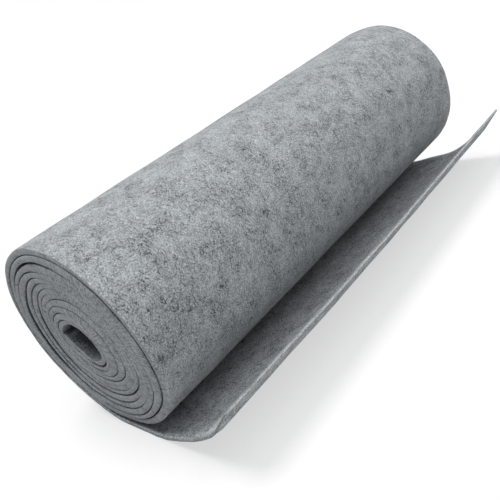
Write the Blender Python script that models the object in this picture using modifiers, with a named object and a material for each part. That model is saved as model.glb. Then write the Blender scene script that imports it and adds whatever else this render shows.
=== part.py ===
"""A roll of grey felt, wound from one long strip, with its loose end curling up off the floor.

Units are metres, +Z is up and the roll lies along Y. The strip starts in the hollow middle, winds
outwards counter-clockwise as seen from -Y, leaves the roll at the bottom, rests flat on the floor
for a short way and then curls up towards +X. It is one piece: a thin sheet on a wound centre line.
"""

import math

import bmesh
import bpy

MM = 0.001

# Driving dimensions
ROLL_WIDTH = 0.300  # the strip's width, which is the roll's length along Y
FELT_THICKNESS = 0.0032
INNER_END_ANGLE = 195.0  # degrees round the roll, from +X towards +Z, where the strip starts
LEAVING_TURN = 12.12  # turns from the inner end to where the strip leaves the roll
STEPS_PER_TURN = 48

# Radius of the strip's middle line, in millimetres, in eight directions round the roll.
# A row holds for the strip after that many turns, and the rows between are worked out evenly.
# The roll has sagged to an oval, and turns 6 to 9 stand apart on its west side.
DIRECTIONS = ("east", "north_east", "north", "north_west", "west", "south_west", "south", "south_east")
WOUND_RADII_MM = (
    {"turn": 0, "east": 14.3, "north_east": 11.8, "north": 10.8, "north_west": 9.7,
     "west": 10.3, "south_west": 8.8, "south": 9.9, "south_east": 12.5},
    {"turn": 6, "east": 41.7, "north_east": 37.5, "north": 33.5, "north_west": 31.6,
     "west": 32.2, "south_west": 30.7, "south": 31.7, "south_east": 35.4},
    {"turn": 7, "east": 45.4, "north_east": 41.7, "north": 37.3, "north_west": 37.3,
     "west": 38.8, "south_west": 36.4, "south": 35.4, "south_east": 39.2},
    {"turn": 8, "east": 49.2, "north_east": 46.0, "north": 41.1, "north_west": 41.3,
     "west": 44.6, "south_west": 42.5, "south": 39.5, "south_east": 43.0},
    {"turn": 9, "east": 52.8, "north_east": 50.3, "north": 44.9, "north_west": 45.5,
     "west": 53.0, "south_west": 49.2, "south": 43.5, "south_east": 46.8},
    {"turn": 12, "east": 66.0, "north_east": 63.3, "north": 55.9, "north_west": 56.1,
     "west": 63.9, "south_west": 60.4, "south": 55.5, "south_east": 58.3},
    {"turn": 13, "east": 70.0, "north_east": 67.4, "north": 59.6, "north_west": 59.7,
     "west": 67.6, "south_west": 64.0, "south": 59.2, "south_east": 62.1},
)

# The loose end: how far along it from where it leaves the roll, and its slope there in degrees.
# Its first slope is the roll's own, and it lies flat between its two rows of slope 0.
LOOSE_END = (
    {"along_mm": 8, "slope": -21.0},
    {"along_mm": 17, "slope": -10.0},
    {"along_mm": 24, "slope": 0.0},
    {"along_mm": 51, "slope": 0.0},
    {"along_mm": 62, "slope": 12.0},
    {"along_mm": 75, "slope": 14.0},
    {"along_mm": 85, "slope": 18.0},
    {"along_mm": 95, "slope": 25.0},
    {"along_mm": 105, "slope": 29.0},
    {"along_mm": 113, "slope": 33.0},
    {"along_mm": 121, "slope": 44.0},
    {"along_mm": 134, "slope": 46.0},
)
LOOSE_END_STEP = 0.004


def between(low, high, share):
    """The value that lies this share of the way from low to high."""
    return low + (high - low) * share


def radii_after(turns):
    """The eight radii, in metres, of the strip's middle line after this many turns."""
    rows = WOUND_RADII_MM
    upper = next(i for i in range(1, len(rows)) if rows[i]["turn"] >= turns)
    inner, outer = rows[upper - 1], rows[upper]
    share = (turns - inner["turn"]) / (outer["turn"] - inner["turn"])
    return [between(inner[name], outer[name], share) * MM for name in DIRECTIONS]


def radius_at(turns, degrees):
    """A smooth closed curve through the eight radii, read at this direction."""
    radii = radii_after(turns)
    place = degrees % 360 / 360 * len(radii)
    index = int(place)
    share = place - index
    before, start, end, after = (radii[(index + k) % len(radii)] for k in (-1, 0, 1, 2))
    return start + 0.5 * share * (
        end - before
        + share * (2 * before - 5 * start + 4 * end - after
                   + share * (3 * (start - end) + after - before))
    )


def wound_line():
    """Points (x, z) of the middle line from the inner end to where the strip leaves the roll."""
    steps = round(LEAVING_TURN * STEPS_PER_TURN)
    points = []
    for step in range(steps + 1):
        turns = LEAVING_TURN * step / steps
        degrees = INNER_END_ANGLE + 360 * turns
        radius = radius_at(turns, degrees)
        angle = math.radians(degrees)
        points.append((radius * math.cos(angle), radius * math.sin(angle)))
    return points


def loose_line(start, first_slope):
    """Points (x, z) that carry the middle line on from start along the loose end."""
    rows = ({"along_mm": 0, "slope": first_slope},) + LOOSE_END
    points = []
    x, z = start
    for low, high in zip(rows, rows[1:]):
        length = (high["along_mm"] - low["along_mm"]) * MM
        pieces = max(1, round(length / LOOSE_END_STEP)) if low["slope"] != high["slope"] else 1
        for piece in range(pieces):
            slope = math.radians(between(low["slope"], high["slope"], (piece + 0.5) / pieces))
            x += length / pieces * math.cos(slope)
            z += length / pieces * math.sin(slope)
            points.append((x, z))
    return points


def middle_line():
    """The whole strip's middle line, from its inner end to the tip of its loose end."""
    points = wound_line()
    (x0, z0), (x1, z1) = points[-2:]
    first_slope = math.degrees(math.atan2(z1 - z0, x1 - x0))
    return points + loose_line(points[-1], first_slope)


def placed(points):
    """The line moved so that the roll's box stands on z = 0 with its middle over the origin."""
    half = FELT_THICKNESS / 2
    lowest = min(z for _, z in points)
    tip_x, tip_z = points[-1]
    before_x, before_z = points[-2]
    # The tip's lower corner is the furthest point east, and the wound side the furthest west.
    slope = math.atan2(tip_z - before_z, tip_x - before_x)
    east = tip_x + half * math.sin(slope)
    west = min(x for x, _ in points) - half
    middle = (east + west) / 2
    return [(x - middle, z - lowest + half) for x, z in points]


def felt_material():
    """Heather grey felt: matt, with no metal in it."""
    material = bpy.data.materials.new("grey_felt")
    material.use_nodes = True
    shader = material.node_tree.nodes["Principled BSDF"]
    shader.inputs["Base Color"].default_value = (0.25, 0.27, 0.285, 1)
    shader.inputs["Roughness"].default_value = 0.95
    shader.inputs["Metallic"].default_value = 0.0
    return material


def felt_roll(collection):
    """The strip: its middle line drawn out to the roll's width and thickened both ways."""
    mesh = bpy.data.meshes.new("felt_roll")
    sheet = bmesh.new()
    line = [sheet.verts.new((x, -ROLL_WIDTH / 2, z)) for x, z in placed(middle_line())]
    edges = [sheet.edges.new(pair) for pair in zip(line, line[1:])]
    drawn = bmesh.ops.extrude_edge_only(sheet, edges=edges)["geom"]
    far_side = [item for item in drawn if isinstance(item, bmesh.types.BMVert)]
    bmesh.ops.translate(sheet, verts=far_side, vec=(0, ROLL_WIDTH, 0))
    bmesh.ops.recalc_face_normals(sheet, faces=sheet.faces)
    sheet.to_mesh(mesh)
    sheet.free()

    roll = bpy.data.objects.new("felt_roll", mesh)
    collection.objects.link(roll)
    thickness = roll.modifiers.new("felt thickness", "SOLIDIFY")
    thickness.thickness = FELT_THICKNESS
    thickness.offset = 0
    thickness.use_even_offset = True
    mesh.materials.append(felt_material())
    mesh.shade_smooth()
    mesh.set_sharp_from_angle(angle=math.radians(30))
    return roll


def main():
    """Clears the scene and builds the roll in a collection of its own."""
    for old in list(bpy.data.objects):
        bpy.data.objects.remove(old)
    collection = bpy.data.collections.new("roll of felt")
    bpy.context.scene.collection.children.link(collection)
    felt_roll(collection)


main()
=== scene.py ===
"""The looks of a roll of heather grey felt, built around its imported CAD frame.

Metres throughout, +Z up, the roll lies along Y and its near end faces -Y. The felt is one closed
sheet: it starts in the hollow middle, winds outwards twelve times and leaves along the floor as a
loose end that curls up. Each turn's two faces are known apart, so that the turns touch in some
places and stand open in others.
"""

import logging
import math
from dataclasses import dataclass
from enum import Enum

import bpy
import numpy as np
from mathutils import Matrix, Vector


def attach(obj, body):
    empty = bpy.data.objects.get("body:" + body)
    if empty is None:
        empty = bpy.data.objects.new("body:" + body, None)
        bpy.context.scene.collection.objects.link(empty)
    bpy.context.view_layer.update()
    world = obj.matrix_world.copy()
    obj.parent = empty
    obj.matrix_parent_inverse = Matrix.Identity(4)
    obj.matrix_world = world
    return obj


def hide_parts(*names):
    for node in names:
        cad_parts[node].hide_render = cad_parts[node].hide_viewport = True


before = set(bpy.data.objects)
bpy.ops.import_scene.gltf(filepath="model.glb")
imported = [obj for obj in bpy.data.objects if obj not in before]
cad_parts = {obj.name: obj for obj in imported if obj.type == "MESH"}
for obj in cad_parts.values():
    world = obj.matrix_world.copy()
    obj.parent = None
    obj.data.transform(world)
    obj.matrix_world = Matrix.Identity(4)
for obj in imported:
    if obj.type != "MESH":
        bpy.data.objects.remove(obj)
log = logging.getLogger("felt roll")

MM = 0.001
UV_NAME = "felt_length"
CUT_NAME = "cut_edge"
# The felt's painted shade and painted light, kept as a point attribute.
PAINTED_LIGHT_NAME = "painted_shade_and_light"
CUT_FACE_AT = 3.0  # where the two end faces of the strip lie in its UV map, in metres
NEAR_CUT_AT = 0.6032  # where the cut edge at the near end starts in it, across the felt
LOOSE_END_AT = (2.722, 2.740)  # where the loose end begins in it, along the felt
CUT_POINTS = 7  # points across each cut edge, over both of its arrises
CUT_SHARES = (0.35, 0.75, 1.0, 1.0, 1.0, 0.75, 0.35)  # how much each belongs to the edge

# Middle of the seam between a turn and the next one out, in millimetres from the roll's axis.
# One row a turn, one value every 30 degrees the way the felt is wound, from 195 degrees on. The
# felt itself starts 30 degrees earlier, where the seam outside it has the first radius.
FIRST_SEAM_RADIUS_MM = 16.3
SEAM_RADII_MM = (
    (13.2, 11.1, 11.8, 13.8, 16.5, 19.0, 18.6, 17.0, 15.4, 15.2, 17.0, 18.8),
    (17.7, 16.3, 16.2, 17.3, 19.6, 21.7, 22.2, 21.2, 19.8, 19.5, 20.7, 22.0),
    (21.2, 19.7, 19.3, 20.7, 24.0, 28.4, 30.2, 27.9, 24.6, 23.6, 23.9, 24.8),
    (23.9, 22.5, 22.2, 23.5, 27.9, 34.2, 36.9, 34.9, 29.6, 26.7, 26.3, 27.4),
    (26.9, 26.0, 25.6, 26.8, 30.6, 37.3, 39.8, 37.6, 32.6, 30.2, 29.2, 29.9),
    (29.8, 29.0, 28.7, 29.9, 33.8, 40.3, 42.7, 40.3, 35.8, 33.2, 32.6, 33.8),
    (34.5, 34.2, 32.9, 33.3, 37.1, 43.4, 45.6, 42.9, 38.8, 36.8, 37.4, 40.4),
    (41.4, 41.1, 39.0, 38.2, 40.4, 46.5, 48.4, 45.6, 41.1, 40.7, 42.0, 47.6),
    (49.0, 47.9, 43.8, 42.4, 44.1, 49.5, 51.3, 48.3, 44.6, 44.4, 47.4, 52.8),
    (56.5, 53.2, 49.1, 46.9, 47.9, 52.6, 54.2, 52.9, 50.0, 48.5, 50.8, 56.0),
    (59.2, 56.3, 51.5, 49.9, 51.7, 58.5, 61.1, 59.5, 54.9, 52.5, 54.5, 59.6),
    (62.0, 58.7, 54.6),
)
# The wall of the hollow middle, read the same way from the felt's first edge on, and then the
# outside of the last turn.
HOLLOW_RADII_MM = (13.8, 9.9, 8.6, 9.4, 10.9, 13.1, 15.8, 15.3, 13.8, 12.8, 12.1, 13.8, 16.6)
OUTSIDE_TURNS = (11.083, 11.12, 11.167, 11.208, 11.25, 11.292, 11.333, 11.375, 11.417, 11.5,
                 11.583, 11.667, 11.75, 11.833, 11.917, 12.0, 12.083, 12.12)
OUTSIDE_RADII_MM = (58.5, 56.4, 53.7, 52.6, 52.8, 54.0, 56.5, 60.0, 63.1, 65.4,
                    63.1, 58.3, 55.8, 57.1, 63.2, 65.2, 62.3, 60.86)
# Width of the seam, in millimetres, after this many turns. Between the wide places turns touch.
SEAM_GAPS = (
    (-0.083, 0.6), (0.0, 1.1), (0.35, 1.0), (0.42, 0.1), (0.70, 0.1), (0.75, 0.5),
    (0.92, 0.9), (1.0, 1.2),
    (1.15, 0.8), (1.25, 0.7), (1.32, 0.05), (1.67, 0.05), (1.72, 0.5), (1.85, 0.5),
    (1.90, 0.05), (2.25, 0.05), (2.32, 0.5), (2.60, 0.5), (2.68, 0.3), (2.95, 0.3),
    (3.02, 0.4), (3.20, 0.4), (3.27, 0.6), (3.40, 0.6), (3.55, 0.5), (3.70, 0.5),
    (3.76, 0.05), (4.70, 0.05), (4.78, 0.35), (5.28, 0.35), (5.34, 0.05), (5.68, 0.05),
    (5.75, 0.5), (5.847, 1.5), (5.917, 3.6), (6.0, 4.0), (6.05, 3.8), (6.125, 1.9),
    (6.208, 0.9), (6.375, 0.8), (6.44, 0.3), (6.50, 0.05), (6.69, 0.05), (6.75, 0.6),
    (6.875, 1.5), (6.958, 2.5), (7.042, 2.5), (7.153, 1.3), (7.25, 0.8), (7.31, 0.4),
    (7.36, 0.05), (7.69, 0.05), (7.75, 0.6), (7.86, 2.0), (7.93, 5.0), (8.0, 6.0),
    (8.03, 5.6), (8.083, 3.2), (8.167, 1.1), (8.27, 0.6), (8.34, 0.05), (8.68, 0.05),
    (8.73, 0.6), (8.98, 0.5), (9.05, 0.1), (9.11, 0.1), (9.17, 0.6), (9.33, 0.6),
    (9.42, 0.35), (9.48, 0.05), (9.58, 0.05), (9.64, 0.9), (9.76, 1.3), (9.82, 0.9), (9.87, 0.1),
    (10.18, 0.05), (10.24, 0.7), (10.44, 0.8), (10.57, 0.9), (10.62, 0.3), (10.70, 0.35),
    (10.80, 0.8), (11.04, 0.8),
    (11.083, 0.8), (11.12, 0.7),
)
# The loose end: how far along it from where it leaves the roll, and its slope there in degrees.
LOOSE_END = (
    (0.0, -29.0), (8.0, -21.0), (17.0, -10.0), (24.0, 0.0), (51.0, 0.0), (62.0, 12.0),
    (75.0, 14.0), (85.0, 18.0), (95.0, 25.0), (105.0, 29.0), (113.0, 33.0), (121.0, 44.0),
    (134.0, 46.0),
)
# How the section differs along the roll: the direction and its width in degrees, and by how many
# millimetres the outside stands out there at the near end, in the middle and at the far end.
SECTION_CHANGES = (
    (117.0, 34.0, 0.0, -1.4, -2.2),
    (62.0, 18.0, 0.0, 0.6, 1.2),
    (30.0, 28.0, 0.0, 0.7, 1.6),
    (335.0, 25.0, 0.0, 0.3, 0.8),
    (193.0, 14.0, 0.7, 0.1, 0.0),
)
# How far the free edge stands east and up of its place, at five places along the roll.
FREE_EDGE_EAST_MM = (0.3, 1.3, 1.3, 0.9, 0.5)
FREE_EDGE_UP_MM = (-0.5, -1.4, -1.8, -1.6, -1.4)


def smooth(low: float, high: float, value: np.ndarray) -> np.ndarray:
    """Goes from 0 at low to 1 at high without a kink.

    Args:
        low: Where the step begins.
        high: Where it ends.
        value: The numbers to read it at.

    Returns:
        The step's height at each number.
    """
    share = np.clip((np.asarray(value) - low) / (high - low), 0.0, 1.0)
    return share * share * (3.0 - 2.0 * share)


def through(knots: np.ndarray, place: np.ndarray) -> np.ndarray:
    """Reads a Catmull-Rom curve through evenly spaced knots.

    Args:
        knots: The values on the curve, one at each whole number.
        place: Where to read it, counted in knots.

    Returns:
        The curve's value at each place.
    """
    last = len(knots) - 1
    index = np.clip(np.floor(place).astype(int), 0, last - 1)
    share = np.clip(place, 0, last) - index
    ends = (knots[np.clip(index + step, 0, last)] for step in (-1, 0, 1, 2))
    before, start, end, after = ends
    return start + 0.5 * share * (
        end - before
        + share * (2 * before - 5 * start + 4 * end - after
                   + share * (3 * (start - end) + after - before))
    )


class Wander:
    """A soft uneven field made of a few seeded waves, the same on every run."""

    def __init__(self, seed: int, wavelength: float, dimensions: int = 2, waves: int = 14) -> None:
        """Draws the waves.

        Args:
            seed: The seed of this field.
            wavelength: Its typical wavelength, in the unit of the points it is read at.
            dimensions: How many coordinates each point has.
            waves: How many waves it adds up.
        """
        draw = np.random.default_rng(seed)
        heading = draw.normal(size=(waves, dimensions))
        heading /= np.linalg.norm(heading, axis=1, keepdims=True)
        self.vectors = heading * (2 * math.pi / (wavelength * draw.uniform(0.6, 1.7, (waves, 1))))
        self.phases = draw.uniform(0, 2 * math.pi, waves)

    def at(self, *coordinates: np.ndarray) -> np.ndarray:
        """The field at these points, with a typical size of about 1."""
        total = sum(np.multiply.outer(axis, self.vectors[:, i])
                    for i, axis in enumerate(coordinates))
        return np.sin(total + self.phases).sum(axis=-1) * math.sqrt(2 / len(self.phases))


class Signal:
    """One socket of a shader tree, which takes part in Python sums."""

    def __init__(self, shader: "Shader", socket: bpy.types.NodeSocket) -> None:
        """Keeps the tree and the socket together."""
        self.shader = shader
        self.socket = socket

    def _math(self, operation: str, *values: "float | Signal", clamp: bool = False) -> "Signal":
        """One Math node on these values, this signal among them."""
        return self.shader.node("ShaderNodeMath", {"operation": operation, "use_clamp": clamp},
                                dict(enumerate(values)))

    def __add__(self, other: "float | Signal") -> "Signal":
        """The sum."""
        return self._math("ADD", self, other)

    __radd__ = __add__

    def __sub__(self, other: "float | Signal") -> "Signal":
        """The difference."""
        return self._math("SUBTRACT", self, other)

    def __rsub__(self, other: "float | Signal") -> "Signal":
        """The difference, the other way round."""
        return self._math("SUBTRACT", other, self)

    def __mul__(self, other: "float | Signal") -> "Signal":
        """The product."""
        return self._math("MULTIPLY", self, other)

    __rmul__ = __mul__

    def step(self, low: float, high: float) -> "Signal":
        """Goes smoothly from 0 at low to 1 at high, or down where high is the smaller.

        Args:
            low: The value that gives 0.
            high: The value that gives 1.

        Returns:
            The step.
        """
        ends = {"From Min": min(low, high), "From Max": max(low, high),
                "To Min": float(low > high), "To Max": float(low < high)}
        return self.shader.node("ShaderNodeMapRange", {"interpolation_type": "SMOOTHSTEP"},
                                {"Value": self, **ends})


class Shader:
    """A material's or the world's node tree, filled one node at a time."""

    def __init__(self, tree: bpy.types.NodeTree) -> None:
        """Clears the tree and keeps it."""
        tree.nodes.clear()
        self.tree = tree

    def node(self, kind: str, settings: dict | None = None, sockets: dict | None = None,
             out: str | int = 0) -> Signal:
        """Adds a node.

        Args:
            kind: The node's type.
            settings: Its own settings, set before its sockets.
            sockets: A value or a signal for each input socket, by name or number.
            out: Which output to return.

        Returns:
            That output.
        """
        made = self.tree.nodes.new(kind)
        for name, value in (settings or {}).items():
            setattr(made, name, value)
        for name, value in (sockets or {}).items():
            if isinstance(value, Signal):
                self.tree.links.new(value.socket, made.inputs[name])
            else:
                made.inputs[name].default_value = value
        return Signal(self, made.outputs[out] if made.outputs else made.inputs[0])

    def noise(self, place: Signal, scale: float, detail: float = 1.0, roughness: float = 0.5,
              out: str = "Factor") -> Signal:
        """A noise field, its values about 0.5.

        Args:
            place: Where it is read.
            scale: How many of its lumps there are to the metre.
            detail: How many finer fields it adds.
            roughness: How strong those are.
            out: Factor, or Color for three fields at once.

        Returns:
            The field.
        """
        made = self.node("ShaderNodeTexNoise", {"noise_dimensions": "3D"},
                         {"Vector": place, "Scale": scale, "Detail": detail,
                          "Roughness": roughness})
        outputs = made.socket.node.outputs
        return Signal(self, outputs["Color"] if out == "Color" else outputs[0])

    def vector(self, operation: str, *values: "Signal | tuple") -> Signal:
        """Vector Math on these values, or their scaling by the last one."""
        named = dict(enumerate(values))
        if operation == "SCALE":
            named = {0: values[0], "Scale": values[1]}
        return self.node("ShaderNodeVectorMath", {"operation": operation}, named)

    def blend(self, share: "float | Signal", low: "tuple | Signal",
              high: "tuple | Signal") -> Signal:
        """Mixes two colours.

        Args:
            share: How much of the second one is taken.
            low: The first colour.
            high: The second colour.

        Returns:
            The mixed colour.
        """
        made = self.node("ShaderNodeMix", {"data_type": "RGBA"},
                         {"Factor": share, 6: low, 7: high})
        return Signal(self, made.socket.node.outputs[2])


@dataclass(frozen=True)
class HeatherFelt:
    """Pressed wool felt, grey with darker and lighter fibres in it."""

    name: str = "heather_grey_felt"
    colour: tuple[float, float, float] = (0.292, 0.312, 0.326)
    roughness: float = 0.95
    sheen: float = 0.28
    bump: float = 0.6
    # Each row of fibres: the way they lie, their length and width in millimetres, and how rare.
    dark_fibres: tuple[tuple[float, tuple[float, float], float], ...] = (
        (8.0, (5.2, 0.85), 0.56), (41.0, (4.2, 0.70), 0.56), (77.0, (5.6, 0.90), 0.57),
        (103.0, (3.8, 0.65), 0.56), (138.0, (5.0, 0.80), 0.56), (166.0, (4.0, 0.72), 0.57),
    )
    light_fibres: tuple[tuple[float, tuple[float, float], float], ...] = (
        (25.0, (4.6, 0.70), 0.56), (60.0, (3.8, 0.62), 0.56), (120.0, (4.4, 0.70), 0.56),
        (152.0, (5.0, 0.66), 0.56),
    )
    # Lumps to the metre in each field of noise.
    bend_scale: float = 110
    cluster_scale: float = 95
    patch_scales: tuple[float, float] = (45, 150)
    grain_scale: float = 1250
    speckle_scale: float = 620
    # How far each part moves the tone from its middle.
    bend_reach: float = 0.0042
    middle_tone: float = 1.12
    patch_tones: tuple[float, float] = (0.45, 0.70)
    grain_tone: float = 2.9
    light_tone: float = 0.24
    dark_tone: float = 0.34
    cluster_tone: float = 0.17
    # What differs on the cut edges and on the loose end.
    cut_calm: float = 0.42
    cut_grain: float = 0.12
    cut_tone: float = 0.05
    loose_grain: float = 1.2
    loose_dark: float = 0.4
    face_tone: float = 0.40
    face_speckle: float = 0.34
    # Painted light on the upper half of the loose end's near cut edge, and painted shade on its
    # lower half.
    near_cut_painted_light: float = 0.20
    near_cut_shade: float = 0.52

    def strokes(self, shader: Shader, place: Signal, heading: float, size: tuple[float, float],
                rare: float) -> Signal:
        """Short fibres that all lie roughly one way.

        Args:
            shader: The tree they are made in.
            place: Where the pattern is read, in metres along and across the felt.
            heading: The way they lie, in degrees.
            size: Their length and width, in millimetres.
            rare: How high the noise has to rise to make one; 0.5 covers half the felt.

        Returns:
            1 on a fibre and 0 beside it.
        """
        turned = shader.node("ShaderNodeMapping", {"vector_type": "TEXTURE"}, {
            "Vector": place, "Location": (0.011 * heading, 0.007 * heading, 0.0),
            "Rotation": (0.0, 0.0, math.radians(heading)),
            "Scale": (size[0] * MM, size[1] * MM, 1.0)})
        return shader.noise(turned, 1.0, 1.0, 0.4).step(rare, rare + 0.10)

    def fibres(self, shader: Shader, place: Signal,
               rows: tuple[tuple[float, tuple[float, float], float], ...]) -> Signal:
        """All the rows of fibres of one tone together."""
        return sum(self.strokes(shader, place, *row) for row in rows)

    def material(self) -> bpy.types.Material:
        """Builds the felt's material."""
        made = bpy.data.materials.new(self.name)
        made.use_nodes = True
        shader = Shader(made.node_tree)
        flat = shader.node("ShaderNodeUVMap", {"uv_map": UV_NAME})
        cut = shader.node("ShaderNodeAttribute", {"attribute_name": CUT_NAME}, out="Fac")
        bend = shader.vector("SUBTRACT", shader.noise(flat, self.bend_scale, 2.0, out="Color"),
                             (0.5, 0.5, 0.5))
        place = shader.vector("ADD", flat, shader.vector("SCALE", bend, self.bend_reach))

        def moved(x: float, y: float) -> Signal:
            """The same place, shifted so that a pattern there is another one."""
            return shader.vector("ADD", place, (x, y, 0.37 * x))

        # Painted shade and painted light, read from the strip's point attribute.
        painted_light_shade = shader.node("ShaderNodeAttribute", {"attribute_name": PAINTED_LIGHT_NAME}, out="Fac")
        broad = 1.0 - cut * self.cut_calm
        cluster = shader.noise(moved(7.0, 2.0), self.cluster_scale, 1.5, 0.5).step(0.30, 0.72)
        dark = self.fibres(shader, place, self.dark_fibres)
        light = self.fibres(shader, place, self.light_fibres)
        large, small = self.patch_scales
        large_tone, small_tone = self.patch_tones
        patches = (shader.noise(moved(1.0, 1.0), large, 2.0, 0.5) - 0.5) * large_tone \
            + (shader.noise(moved(3.0, 8.0), small, 2.0, 0.6) - 0.5) * small_tone
        loose = shader.node("ShaderNodeSeparateXYZ", {}, {"Vector": flat}).step(*LOOSE_END_AT)
        grain = (shader.noise(flat, self.grain_scale, 2.0, 0.8) - 0.5) \
            * (loose * self.loose_grain + self.grain_tone)
        dark = dark * (cluster * 0.45 + 0.55) * (loose * self.loose_dark + 1.0)
        tone = (patches * broad + grain * (1.0 + cut * self.cut_grain)
                + light * self.light_tone * broad - dark * self.dark_tone * broad
                - cluster * self.cluster_tone * broad) + self.middle_tone - cut * self.cut_tone
        # Darkened by painted shade and lightened by painted light.
        tone = tone * (1.0 - painted_light_shade) * self.free_edge(shader, flat)
        colour = shader.vector("SCALE", self.colour, tone)
        height = grain * 0.5 + light * 0.3 - dark * 0.25 + patches * 0.6
        bump = shader.node("ShaderNodeBump", {}, {"Strength": self.bump, "Distance": 0.0006,
                                                  "Height": height})
        felt = shader.node("ShaderNodeBsdfPrincipled", {}, {
            "Base Color": colour, "Roughness": self.roughness, "Metallic": 0.0,
            "Specular IOR Level": 0.2, "Sheen Weight": self.sheen, "Sheen Roughness": 0.6,
            "Normal": bump})
        shader.node("ShaderNodeOutputMaterial", {}, {"Surface": felt})
        return made

    def free_edge(self, shader: Shader, flat: Signal) -> Signal:
        """The tone of the strip's end faces, pale with darker speckles, and of the loose end's
        near cut edge, painted light on its upper half and painted shade on its lower half.

        Args:
            shader: The tree it is made in.
            flat: The felt's UV map.

        Returns:
            What to multiply the felt's tone by.
        """
        parts = shader.node("ShaderNodeSeparateXYZ", {}, {"Vector": flat})
        stretched = shader.vector("MULTIPLY", flat, (1.0, 0.5, 1.0))
        speckle = shader.noise(stretched, self.speckle_scale, 2.0, 0.7).step(0.36, 0.60)
        face = parts.step(CUT_FACE_AT - 0.01, CUT_FACE_AT - 0.005)
        across = Signal(shader, parts.socket.node.outputs[1])
        near_cut = across.step(NEAR_CUT_AT - 0.0002, NEAR_CUT_AT + 0.0002)
        lower = across.step(NEAR_CUT_AT + 0.0016, NEAR_CUT_AT + 0.0010)
        loose = parts.step(*LOOSE_END_AT) * (1.0 - face)
        # The near cut gets painted light, less the painted shade on its lower half.
        return (1.0 - face * (speckle * self.face_speckle - self.face_tone)) \
            * (1.0 + loose * near_cut * (self.near_cut_painted_light - lower * self.near_cut_shade))


class StripEnd(Enum):
    """The two ends of the felt strip, and which way along it each faces."""

    IN_THE_HOLLOW = -1
    FREE_EDGE = 1


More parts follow.
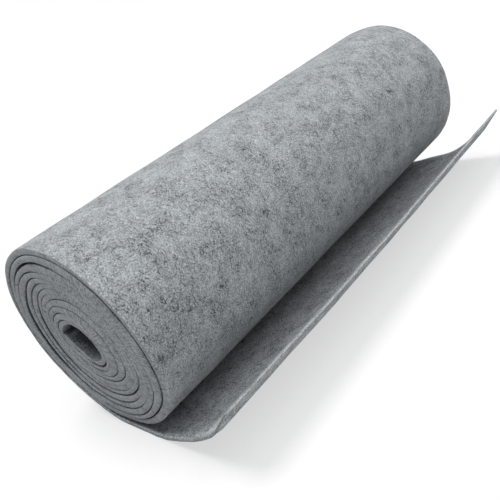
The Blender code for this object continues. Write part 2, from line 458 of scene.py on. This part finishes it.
@dataclass
class FeltStrip:
    """The wound felt: one long strip, as two faces with rounded edges between them."""

    width: float = 0.300
    length: float = 2.852
    thickness: float = 0.0032
    axis: tuple[float, float] = (-0.01415, 0.05837)  # x and z of the roll's middle
    first_angle: float = 195.0  # where the turns are counted from, in degrees from +X
    first_turn: float = -1 / 12
    leaving_turn: float = 12.12
    columns_per_turn: int = 96
    face_rows: int = 27
    row_crowding: float = 1.75
    loose_step: float = 0.0018
    edge_thinning: float = 0.0018  # how much thinner the felt is at its free edge
    edge_arris: float = 0.00040
    near_corner: tuple[float, float] = (0.007, 0.0028)  # its length and depth
    near_feather: tuple[float, float] = (0.13, 0.19)  # share pressed off, and more where raised
    far_sag: float = 0.0022
    cut_wander: float = 0.00028
    last_turn_set_back: float = 0.00045
    face_wander: float = 0.00014
    # Painted shade and painted light: how much darker the felt is painted in the seams, the
    # hollow, at its first edge, in the crevice and at the tip, and how much lighter on the flap,
    # the raised loose end, its underside and the arrises.
    seam_shade: float = 0.84
    hollow_shades: tuple[float, float] = (0.24, 0.73)  # at its mouth, and further in
    first_edge_shade: float = 0.92
    crevice_shade: float = 0.62
    flap_light: float = 0.08
    raised_light: tuple[float, float] = (0.22, 0.20)  # in the middle, and more at both ends
    tip_shade: float = 0.10
    underside_light: float = 0.52
    arris_light: float = 0.16
    name: str = "grey_felt_strip"

    def seam(self, turns: np.ndarray) -> np.ndarray:
        """Radius, in millimetres, of the seam outside the felt after so many turns."""
        knots = [FIRST_SEAM_RADIUS_MM] + [radius for row in SEAM_RADII_MM for radius in row]
        return through(np.array(knots), (turns - self.first_turn) * 12)

    def gap(self, turns: np.ndarray) -> np.ndarray:
        """Width, in millimetres, of that seam."""
        places, widths = zip(*SEAM_GAPS)
        return np.interp(turns, places, widths)

    def wound_faces(self, turns: np.ndarray) -> tuple[np.ndarray, np.ndarray]:
        """The felt's inner and outer radii while it is wound.

        Args:
            turns: How many turns from the inner end.

        Returns:
            The radius of each face there, in millimetres.
        """
        hollow = through(np.array(HOLLOW_RADII_MM), (turns - self.first_turn) * 12)
        earlier = np.maximum(turns - 1.0, self.first_turn)
        inner = np.where(turns - 1.0 < self.first_turn, hollow,
                         self.seam(earlier) + self.gap(earlier) / 2)
        outside = np.interp(turns, OUTSIDE_TURNS, OUTSIDE_RADII_MM)
        seam = self.seam(turns) - self.gap(turns) / 2
        share = smooth(11.10, 11.14, turns)
        outer = seam * (1 - share) + self.rounded_outside(turns, outside) * share
        return inner, outer

    def rounded_outside(self, turns: np.ndarray, straight: np.ndarray) -> np.ndarray:
        """The outside radii, smoothed where the table only joins them with straight lines.

        Args:
            turns: How many turns from the inner end.
            straight: The radii by straight lines.

        Returns:
            A smooth curve through the same places.
        """
        fine = np.linspace(11.0, 12.12, 400)
        radii = np.interp(fine, OUTSIDE_TURNS, OUTSIDE_RADII_MM)
        window = np.hanning(31)
        padded = np.pad(radii, 15, mode="edge")
        calm = np.convolve(padded, window / window.sum(), mode="valid")
        ends = 1.0 - smooth(12.08, 12.12, turns)
        return np.interp(turns, fine, calm) * ends + straight * (1.0 - ends)

    def loose_line(self, start: np.ndarray) -> tuple[np.ndarray, np.ndarray, np.ndarray]:
        """The middle line of the loose end.

        Args:
            start: Where the felt leaves the roll, in metres.

        Returns:
            The points, the slope in radians and the distance along it of each.
        """
        places, slopes = (np.array(column) for column in zip(*LOOSE_END))
        count = round(places[-1] * MM / self.loose_step)
        along = np.linspace(0.0, places[-1], count + 1)
        fine = np.linspace(0.0, places[-1], count * 8 + 1)
        slope = np.radians(np.interp(fine, places, slopes))
        window = np.hanning(41)
        padded = np.concatenate([np.full(20, slope[0]), slope, np.full(20, slope[-1])])
        slope = np.convolve(padded, window / window.sum(), mode="valid")
        step = (fine[1] - fine[0]) * MM
        x = start[0] + np.concatenate([[0.0], np.cumsum(np.cos(slope[1:]) * step)])
        z = start[1] + np.concatenate([[0.0], np.cumsum(np.sin(slope[1:]) * step)])
        points = np.stack([np.interp(along, fine, x), np.interp(along, fine, z)], axis=1)
        return points, np.interp(along, fine, slope), along * MM

    def stations(self) -> dict[str, np.ndarray]:
        """Both faces' points along the whole strip, before anything varies along the roll.

        Returns:
            Arrays with one row for each station: inner and outer points (x, z), turns, the
            distance along the strip and along the loose end, and the two arris radii.
        """
        count = round((self.leaving_turn - self.first_turn) * self.columns_per_turn)
        turns = np.linspace(self.first_turn, self.leaving_turn, count + 1)
        angle = np.radians(self.first_angle + 360.0 * turns)
        ray = np.stack([np.cos(angle), np.sin(angle)], axis=1)
        inner_radius, outer_radius = self.wound_faces(turns)
        inner = np.array(self.axis) + ray * inner_radius[:, None] * MM
        outer = np.array(self.axis) + ray * outer_radius[:, None] * MM
        half = self.thickness / 2
        start = outer[-1] - ray[-1] * half
        line, slope, loose = self.loose_line(start)
        up = np.stack([-np.sin(slope), np.cos(slope)], axis=1)
        half = (half - self.edge_thinning / 2 * smooth(0.106, 0.134, loose))[:, None]
        inner = np.concatenate([inner, (line + up * half)[1:]])
        outer = np.concatenate([outer, (line - up * half)[1:]])
        outer[:, 1] = np.maximum(outer[:, 1], 0.0)
        middle = (inner + outer) / 2
        steps = np.linalg.norm(np.diff(middle, axis=0), axis=1)
        all_turns = np.concatenate([turns, np.full(len(loose) - 1, self.leaving_turn)])
        earlier = all_turns - 1.0
        gaps_in = np.where(earlier < self.first_turn, 1.2, self.gap(earlier))
        gaps_in = np.maximum(gaps_in, smooth(11.9, 12.12, all_turns) * 1.4)
        open_out = smooth(11.09, 11.16, all_turns)
        angle = (self.first_angle + 360.0 * all_turns) % 360.0
        east = smooth(80.0, 30.0, np.abs((angle + 180.0) % 360.0 - 180.0))
        gaps_out = self.gap(all_turns) * (1 - open_out) + open_out * (0.6 + 1.2 * east)
        return {
            "inner": inner, "outer": outer, "turns": all_turns,
            "along": np.concatenate([[0.0], np.cumsum(steps)]),
            "loose": np.concatenate([np.zeros(len(turns) - 1), loose]),
            "inner_arris": np.minimum(0.05 + 0.6 * gaps_in, 1.0) * MM,
            "outer_arris": np.minimum(0.05 + 0.6 * gaps_out, 1.1) * MM,
        }

    def sagged(self, points: np.ndarray, y: np.ndarray, loose: np.ndarray) -> np.ndarray:
        """Moves points as the roll's section changes from its near to its far end.

        Args:
            points: (x, z) of each point, in metres.
            y: Where each is along the roll.
            loose: How far along the loose end each is.

        Returns:
            The points (x, z), moved.
        """
        share = (y / self.width + 0.5)
        arm = points - np.array(self.axis)
        radius = np.linalg.norm(arm, axis=-1)
        angle = np.degrees(np.arctan2(arm[..., 1], arm[..., 0]))

        change = np.zeros_like(radius)
        for towards, wide, *sizes in SECTION_CHANGES:
            off = (angle - towards + 180.0) % 360.0 - 180.0
            change += through(np.array(sizes), share * 2) * np.exp(-(off / wide) ** 2)
        wound = 1.0 - smooth(0.0, 0.03, loose)
        moved = points + arm * (change * MM / 0.060 * wound)[..., None]
        lowered = np.exp(-((loose - 0.090) / 0.020) ** 2) * share ** 2
        moved[..., 1] -= self.far_sag * lowered * smooth(0.055, 0.075, loose)
        reach = smooth(0.060, 0.125, loose) * MM
        moved[..., 0] += through(np.array(FREE_EDGE_EAST_MM), share * 4) * reach
        moved[..., 1] += through(np.array(FREE_EDGE_UP_MM), share * 4) * reach
        return moved

    def rows_along(self) -> np.ndarray:
        """Where the rows of points lie along the roll, from -1 to 1 and closer near its ends."""
        place = np.linspace(-1.0, 1.0, self.face_rows)
        return np.sign(place) * (1.0 - (1.0 - np.abs(place)) ** self.row_crowding)

    def ring(self, stations: dict[str, np.ndarray]) -> tuple[np.ndarray, ...]:
        """Lays a closed ring of points round the strip at each station.

        Args:
            stations: The result of stations().

        Returns:
            The points, one row of (x, y, z) for each ring, how far round the ring each lies,
            and how much each belongs to a cut edge.
        """
        inner, outer = stations["inner"][:, None], stations["outer"][:, None]
        along = stations["along"][:, None]
        thick = np.linalg.norm(outer - inner, axis=-1)
        half = self.width / 2
        rows = self.rows_along()[None]
        corner = np.radians([30.0, 60.0, 90.0])
        arris = {"in": np.minimum(stations["inner_arris"][:, None], thick * 0.42),
                 "out": np.minimum(stations["outer_arris"][:, None], thick * 0.42)}
        across, ys, rounds, cuts = [], [], [], []
        place = 0.0
        for side, first, last in ((1, "in", "out"), (-1, "out", "in")):
            flip = first == "out"
            # A broad face, from one end of the roll to the other.
            reach = half - arris[first]
            across.append(np.full((len(thick), self.face_rows), 1.0 if flip else 0.0))
            ys.append(side * rows * reach)
            rounds += list(place + (rows[0] + 1) * half)
            cuts += [0.0] * self.face_rows
            place += self.width
            # The cut edge, over both of its arrises.
            first_share = arris[first] * (1 - np.cos(corner)) / thick
            last_share = arris[last] * (1 - np.cos(corner[::-1])) / thick
            middle = (first_share[:, -1:] + 1 - last_share[:, :1]) / 2
            shares = np.concatenate([first_share, middle, 1 - last_share], axis=1)
            depth = np.concatenate([arris[first] * (1 - np.sin(corner)),
                                    np.full_like(middle, -0.00012),
                                    arris[last] * (1 - np.sin(corner[::-1]))], axis=1)
            across.append(1 - shares if flip else shares)
            ys.append(side * (half - depth))
            rounds += list(place + np.linspace(0.0004, self.thickness - 0.0004, CUT_POINTS))
            cuts += CUT_SHARES
            place += self.thickness
        share = np.concatenate(across, axis=1)
        y = np.concatenate(ys, axis=1)
        share = self.feathered(stations, y, share)
        y += self.uneven_cut(stations, along, y, share)
        flat = inner * (1 - share[..., None]) + outer * share[..., None]
        flat = flat + self.uneven_face(stations, along, y, share)
        loose = np.broadcast_to(stations["loose"][:, None], y.shape)
        flat = self.sagged(flat, y, loose)
        flat[..., 1] = np.maximum(flat[..., 1], 0.0)
        points = np.stack([flat[..., 0], y, flat[..., 1]], axis=-1)
        return points, np.array(rounds + [place]), np.array(cuts)

    def feathered(self, stations: dict[str, np.ndarray], y: np.ndarray,
                  share: np.ndarray) -> np.ndarray:
        """Presses the loose end thinner along its near cut edge, from below.

        Args:
            stations: The result of stations().
            y: The points' places along the roll.
            share: How far through the felt's thickness they are.

        Returns:
            How far through it they are once it is pressed.
        """
        leaving, raised = self.near_feather
        pressed = leaving * smooth(11.95, 12.12, stations["turns"]) \
            + raised * smooth(0.060, 0.085, stations["loose"])
        return share * (1.0 - pressed[:, None] * smooth(0.1435, 0.1494, -y))

    def uneven_cut(self, stations: dict[str, np.ndarray], along: np.ndarray, y: np.ndarray,
                   share: np.ndarray) -> np.ndarray:
        """How far the cut edges wander in and out along the strip.

        Args:
            stations: The result of stations().
            along: Each station's distance along the strip.
            y: The points' places along the roll.
            share: How far through the felt's thickness they are.

        Returns:
            What to add to y.
        """
        near = Wander(11, 0.055, 1).at(along[:, 0])[:, None] * 0.10 \
            + Wander(12, 0.009, 1).at(along[:, 0])[:, None] * 0.12
        far = Wander(13, 0.055, 1).at(along[:, 0])[:, None] * 0.60 \
            + Wander(14, 0.009, 1).at(along[:, 0])[:, None] * 0.28
        near = near + Wander(15, 0.004, 2).at(along + 0 * share, share * 0.003) * 0.12
        edge = smooth(0.115, 0.149, np.abs(y))
        turns, loose = stations["turns"], stations["loose"]
        set_back = smooth(11.15, 11.22, turns) - smooth(11.72, 11.82, turns) * 1.5
        long, deep = self.near_corner
        over = np.clip((loose - loose[-1]) / long + 1.0, 0.0, 1.0)
        set_back = set_back * self.last_turn_set_back + deep * (1.0 - np.sqrt(1.0 - over ** 2))
        return np.where(y < 0, near * self.cut_wander + set_back[:, None],
                        far * self.cut_wander) * edge

    def uneven_face(self, stations: dict[str, np.ndarray], along: np.ndarray, y: np.ndarray,
                    share: np.ndarray) -> np.ndarray:
        """Soft hollows and swellings of the outermost turn and the loose end.

        Args:
            stations: The result of stations().
            along: Each station's distance along the strip.
            y: The points' places along the roll.
            share: How far through the felt's thickness they are.

        Returns:
            What to add to (x, z) of each point.
        """
        thick = stations["outer"] - stations["inner"]
        out = thick / np.linalg.norm(thick, axis=1, keepdims=True)
        along = along + 0 * y
        lumps = Wander(21, 0.046).at(along, y) * 0.6 + Wander(22, 0.017).at(along, y) * 0.30
        last_turn = smooth(11.16, 11.24, stations["turns"])[:, None]
        loose = smooth(0.0, 0.02, stations["loose"])[:, None]
        fade = last_turn * (share * (1 - loose) + loose)
        return (lumps * fade * self.face_wander)[..., None] * out[:, None]

    def broad_faces(self, size: int) -> tuple[slice, slice]:
        """Which points of a ring of this size lie on the inner and on the outer broad face."""
        inner = slice(0, self.face_rows)
        outer = slice(self.face_rows + CUT_POINTS, size - CUT_POINTS)
        return inner, outer

    def tapered(self, points: np.ndarray, end: StripEnd) -> list[np.ndarray]:
        """Rings that round the strip off at one of its two ends.

        Args:
            points: All the rings of points.
            end: Which end of the strip they are for.

        Returns:
            The new rings, from the strip outwards.
        """
        at = 0 if end is StripEnd.IN_THE_HOLLOW else -1
        ring, before = points[at], points[1 if at == 0 else -2]
        inner, outer = self.broad_faces(len(ring))
        first_cut = inner.stop + CUT_POINTS // 2
        second_cut = outer.stop + CUT_POINTS // 2
        centre = (ring[inner] + ring[outer][::-1]) / 2
        middle = ring.copy()
        middle[inner] = centre
        middle[outer] = centre[::-1]
        middle[inner.stop:outer.start] = (ring[first_cut - 1] + ring[first_cut + 1]) / 2
        middle[outer.stop:] = (ring[second_cut - 1] + ring[second_cut + 1]) / 2
        away = ring - before
        away /= np.maximum(np.linalg.norm(away, axis=1, keepdims=True), 1e-9)
        away[:, 1] = 0.0
        away = np.broadcast_to(away[inner].mean(axis=0), away.shape)
        radius = self.edge_arris
        half = (self.thickness - self.edge_thinning) / 2
        wave = Wander(31, 0.02, 1).at(ring[:, 1])[:, None] * 0.00025
        rings = []
        for degrees in (28.0, 58.0, 90.0):
            turn = math.radians(degrees)
            pull = radius * (1 - math.cos(turn)) / half
            rings.append(ring * (1 - pull) + middle * pull
                         + away * (radius * math.sin(turn) + wave * math.sin(turn)))
        return rings

    def mesh(self) -> bpy.types.Object:
        """Builds the strip as one closed mesh with its own UV map.

        Returns:
            The new object.
        """
        stations = self.stations()
        points, rounds, cuts = self.ring(stations)
        start = self.tapered(points, StripEnd.IN_THE_HOLLOW)[::-1]
        tip = self.tapered(points, StripEnd.FREE_EDGE)
        points = np.concatenate([np.array(start), points, np.array(tip)])
        along = stations["along"]
        step = 0.0005
        along = np.concatenate([along[0] - step * np.array([3, 2, 1]), along,
                                along[-1] + step * np.array([1, 2, 3])])
        columns, size = points.shape[:2]
        first, second = np.arange(columns - 1)[:, None], np.arange(size)[None]
        following = (second + 1) % size
        quads = np.stack([first * size + second, first * size + following,
                          (first + 1) * size + following, (first + 1) * size + second],
                         axis=-1).reshape(-1, 4)
        u = np.stack([along[:-1], along[:-1], along[1:], along[1:]], axis=-1)
        u = np.broadcast_to(u[:, None], (columns - 1, size, 4))
        v = np.stack([rounds[:-1], rounds[1:], rounds[1:], rounds[:-1]], axis=-1)
        v = np.broadcast_to(v[None], (columns - 1, size, 4))
        faces = [tuple(quad) for quad in quads.tolist()]
        uvs = np.stack([u, v], axis=-1).reshape(-1, 2).tolist()
        for ring_start, reverse in ((0, True), ((columns - 1) * size, False)):
            for cap in self.cap_faces(size):
                cap = [ring_start + index for index in cap]
                faces.append(tuple(cap[::-1] if reverse else cap))
                uvs += [[CUT_FACE_AT + self.across_edge(i % size), points[i // size, i % size, 1]]
                        for i in faces[-1]]
        made = bpy.data.meshes.new(self.name)
        made.from_pydata(points.reshape(-1, 3).tolist(), [], faces)
        layer = made.uv_layers.new(name=UV_NAME)
        layer.data.foreach_set("uv", np.array(uvs).ravel())
        value = np.broadcast_to(cuts, (columns, size)).copy()
        value[:2] = value[-2:] = 1.0
        edge = made.attributes.new(CUT_NAME, "FLOAT", "POINT")
        edge.data.foreach_set("value", value.ravel())
        # The painted shade and painted light of each point.
        painted_light_shade = made.attributes.new(PAINTED_LIGHT_NAME, "FLOAT", "POINT")
        painted_light_shade.data.foreach_set("value", self.painted_light_shade(stations, points).ravel())
        made.validate()
        made.shade_smooth()
        piece = bpy.data.objects.new(self.name, made)
        bpy.context.scene.collection.objects.link(piece)
        return piece

    def painted_light_shade(self, stations: dict[str, np.ndarray], points: np.ndarray) -> np.ndarray:
        """How much painted shade each point gets by how deep it lies between the turns or in the
        hollow, and the painted light on the loose end.

        Args:
            stations: The result of stations().
            points: All the rings of points, those at the two ends among them.

        Returns:
            By how much the felt is painted darker there: 0 on most of the open faces, more some
            millimetres in from the roll's ends, and less than 0, painted lighter, where the loose
            end rises and on the arrises.
        """
        turns = np.pad(stations["turns"], 3, mode="edge")[:, None]
        loose = np.pad(stations["loose"], 3, mode="edge")[:, None]
        size = points.shape[1]
        inner, outer = (np.zeros(size) for _ in range(2))
        inner_points, outer_points = self.broad_faces(size)
        inner[inner_points] = 1.0
        outer[outer_points] = 1.0
        broad = inner + outer

        depth = self.width / 2 - np.abs(points[..., 1])
        open_out = smooth(11.05, 11.2, turns) * outer
        closed = (1.0 - open_out) * (1.0 - smooth(0.0, 0.012, loose))
        wall = smooth(0.95, 0.90, turns) * inner
        # Painted shade in the seams between the turns, starting just in from the roll's ends, and
        # darker still on the hollow's wall.
        seam = smooth(-0.0003, 0.0012, depth) * self.seam_shade * (1.0 - wall)
        mouth, deeper = self.hollow_shades
        hollow = smooth(-0.0004, 0.0008, depth) * mouth + smooth(0.0, 0.013, depth) * deeper
        dark = (seam + hollow * wall) * closed * broad
        # Painted shade along the strip's first edge in the hollow.
        dark[:4] = np.maximum(dark[:4], smooth(0.0, 0.003, depth[:4]) * self.first_edge_shade)

        # Painted shade in the crevice where the felt leaves the roll.
        crevice = (1.0 - smooth(0.036, 0.062, loose)) * smooth(0.0, 0.012, loose) * inner
        # Painted light on the loose end's upper face, more where it rises and towards the roll's
        # ends.
        ends = smooth(0.05, 0.15, np.abs(points[..., 1]))
        middle_light, end_light = self.raised_light
        raised = smooth(0.070, 0.104, loose) - smooth(0.118, 0.128, loose)
        flap = (smooth(0.056, 0.076, loose) * self.flap_light
                + raised * (middle_light + end_light * ends)) * inner
        # Painted light on the underside near the free edge.
        under = smooth(0.108, 0.124, loose) * outer
        # Painted shade on the free edge's rounded tip, which dims its highlight.
        tip = smooth(0.1312, 0.134, loose) * (1.0 - under)
        # Painted highlight on the arrises of the cut edges.
        place = np.arange(size) % (self.face_rows + CUT_POINTS) - self.face_rows
        arris = np.isin(place, (0, 1, CUT_POINTS - 2, CUT_POINTS - 1))
        return (dark + crevice * self.crevice_shade - flap + tip * self.tip_shade
                - under * self.underside_light - arris * self.arris_light)

    def across_edge(self, index: int) -> float:
        """How far, in metres, this point of a ring lies from the felt's inner face."""
        rows = self.face_rows
        if index < rows:
            return 0.0
        if index < rows + CUT_POINTS:
            return (index - rows + 1) / (CUT_POINTS + 1) * self.thickness
        if index < 2 * rows + CUT_POINTS:
            return self.thickness
        return (1 - (index - 2 * rows - CUT_POINTS + 1) / (CUT_POINTS + 1)) * self.thickness

    def cap_faces(self, size: int) -> list[list[int]]:
        """The faces that close a ring, across the felt's thickness.

        Args:
            size: How many points the ring has.

        Returns:
            Each face's points, counted round the ring.
        """
        rows = self.face_rows
        far = rows + CUT_POINTS
        faces = [[i, i + 1, far + rows - 2 - i, far + rows - 1 - i] for i in range(rows - 1)]
        faces.append([rows - 1] + list(range(rows, far)) + [far])
        faces.append([far + rows - 1] + list(range(far + rows, size)) + [0])
        return faces

    def dress(self, piece: bpy.types.Object, finish: HeatherFelt) -> None:
        """Gives the strip its finish and ties it to the frame.

        Args:
            piece: The strip's object.
            finish: What it is made of.
        """
        piece.data.materials.append(finish.material())
        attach(piece, "root")
        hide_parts("felt_roll")


@dataclass(frozen=True)
class PaleFloor:
    """The floor's finish: smooth white paper with a faint grain."""

    name: str = "white_paper"
    colour: tuple[float, float, float] = (0.80, 0.80, 0.80)
    shade: tuple[float, float, float] = (0.77, 0.77, 0.77)
    glow: float = 0.60
    glow_strength: float = 1.0
    bounce: tuple[float, float, float] = (0.50, 0.50, 0.50)

    def material(self) -> bpy.types.Material:
        """Builds the floor's material."""
        made = bpy.data.materials.new(self.name)
        made.use_nodes = True
        shader = Shader(made.node_tree)
        place = shader.node("ShaderNodeTexCoord", out="Object")
        grain = shader.noise(place, 700, 2.0).step(0.3, 0.7)
        colour = shader.blend(grain, (*self.colour, 1.0), (*self.shade, 1.0))
        bump = shader.node("ShaderNodeBump", {}, {"Strength": 0.05, "Distance": 0.0002,
                                                  "Height": grain})
        paper = shader.node("ShaderNodeBsdfPrincipled", {}, {
            "Base Color": colour, "Roughness": 0.9, "Specular IOR Level": 0.1, "Normal": bump})
        glow = shader.node("ShaderNodeEmission", {}, {"Color": (1.0, 1.0, 1.0, 1.0),
                                                      "Strength": self.glow_strength})
        seen = shader.node("ShaderNodeLightPath", out="Is Camera Ray")
        pale = shader.node("ShaderNodeMixShader", {}, {0: self.glow, 1: paper, 2: glow})
        dim = shader.node("ShaderNodeBsdfDiffuse", {}, {"Color": (*self.bounce, 1.0)})
        lit = shader.node("ShaderNodeMixShader", {}, {0: seen, 1: dim, 2: pale})
        shader.node("ShaderNodeOutputMaterial", {}, {"Surface": lit})
        return made


@dataclass
class Studio:
    """The floor, the lights and the camera."""

    camera_at: tuple[float, float, float] = (0.24845, -0.23220, 0.16937)
    camera_right: tuple[float, float, float] = (0.68218, 0.60980, -0.40344)
    camera_up: tuple[float, float, float] = (0.0, 0.55177, 0.83400)
    camera_back: tuple[float, float, float] = (0.73118, -0.56894, 0.37641)
    lens: float = 40.44
    floor_size: float = 60.0
    lights: tuple[tuple[str, tuple[float, float, float], float, float], ...] = (
        ("soft_key", (-0.24, 0.0, 0.97), 3.0, 36.0),
        ("soft_fill", (0.45, 0.15, 0.88), 0.95, 40.0),
        ("soft_side", (0.80, 0.28, 0.50), 0.68, 40.0),
        ("soft_front", (0.35, -0.65, 0.67), 0.12, 50.0),
    )
    light_colour: tuple[float, float, float] = (1.0, 0.99, 0.97)
    sky_colour: tuple[float, float, float] = (0.90, 1.0, 1.12)
    sky_light: float = 0.18

    def place_camera(self) -> None:
        """Sets the camera where the photograph was taken from."""
        lens = bpy.data.cameras.new("camera")
        lens.lens = self.lens
        lens.sensor_width = 36.0
        lens.clip_start = 0.01
        lens.clip_end = 200.0
        camera = bpy.data.objects.new("camera", lens)
        bpy.context.scene.collection.objects.link(camera)
        turn = Matrix((self.camera_right, self.camera_up, self.camera_back)).transposed()
        camera.matrix_world = Matrix.Translation(self.camera_at) @ turn.to_4x4()
        bpy.context.scene.camera = camera

    def lay_floor(self) -> None:
        """Lays the pale floor."""
        bpy.ops.object.select_all(action="DESELECT")
        bpy.ops.mesh.primitive_plane_add(size=self.floor_size, location=(0, 0, 0))
        floor = bpy.context.object
        floor.name = "floor"
        floor.data.materials.append(PaleFloor().material())

    def hang_lights(self) -> None:
        """Adds the soft light from above and the pale surroundings."""
        for name, towards, strength, softness in self.lights:
            sun = bpy.data.lights.new(name, "SUN")
            sun.energy = strength
            sun.angle = math.radians(softness)
            sun.color = self.light_colour
            lamp = bpy.data.objects.new(name, sun)
            bpy.context.scene.collection.objects.link(lamp)
            lamp.rotation_euler = Vector(towards).to_track_quat("Z", "Y").to_euler()
        world = bpy.data.worlds.new("pale_surroundings")
        bpy.context.scene.world = world
        world.use_nodes = True
        shader = Shader(world.node_tree)
        seen = shader.node("ShaderNodeLightPath", out="Is Camera Ray")
        dim = tuple(channel * self.sky_light for channel in self.sky_colour)
        colour = shader.blend(seen, (*dim, 1.0), (1.0, 1.0, 1.0, 1.0))
        sky = shader.node("ShaderNodeBackground", {}, {"Color": colour, "Strength": 1.0})
        shader.node("ShaderNodeOutputWorld", {}, {"Surface": sky})

    def grade(self) -> None:
        """Shows tones as they are."""
        bpy.context.scene.view_settings.view_transform = "Standard"

    def build(self) -> None:
        """Sets up the whole studio."""
        self.place_camera()
        self.lay_floor()
        self.hang_lights()
        self.grade()


def main() -> None:
    """Builds the felt and the studio."""
    logging.basicConfig(level=logging.INFO, format="%(message)s")
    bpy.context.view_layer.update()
    Studio().build()
    strip = FeltStrip()
    piece = strip.mesh()
    strip.dress(piece, HeatherFelt())
    log.info("%s: %d faces", piece.name, len(piece.data.polygons))


if __name__ == "__main__":
    main()
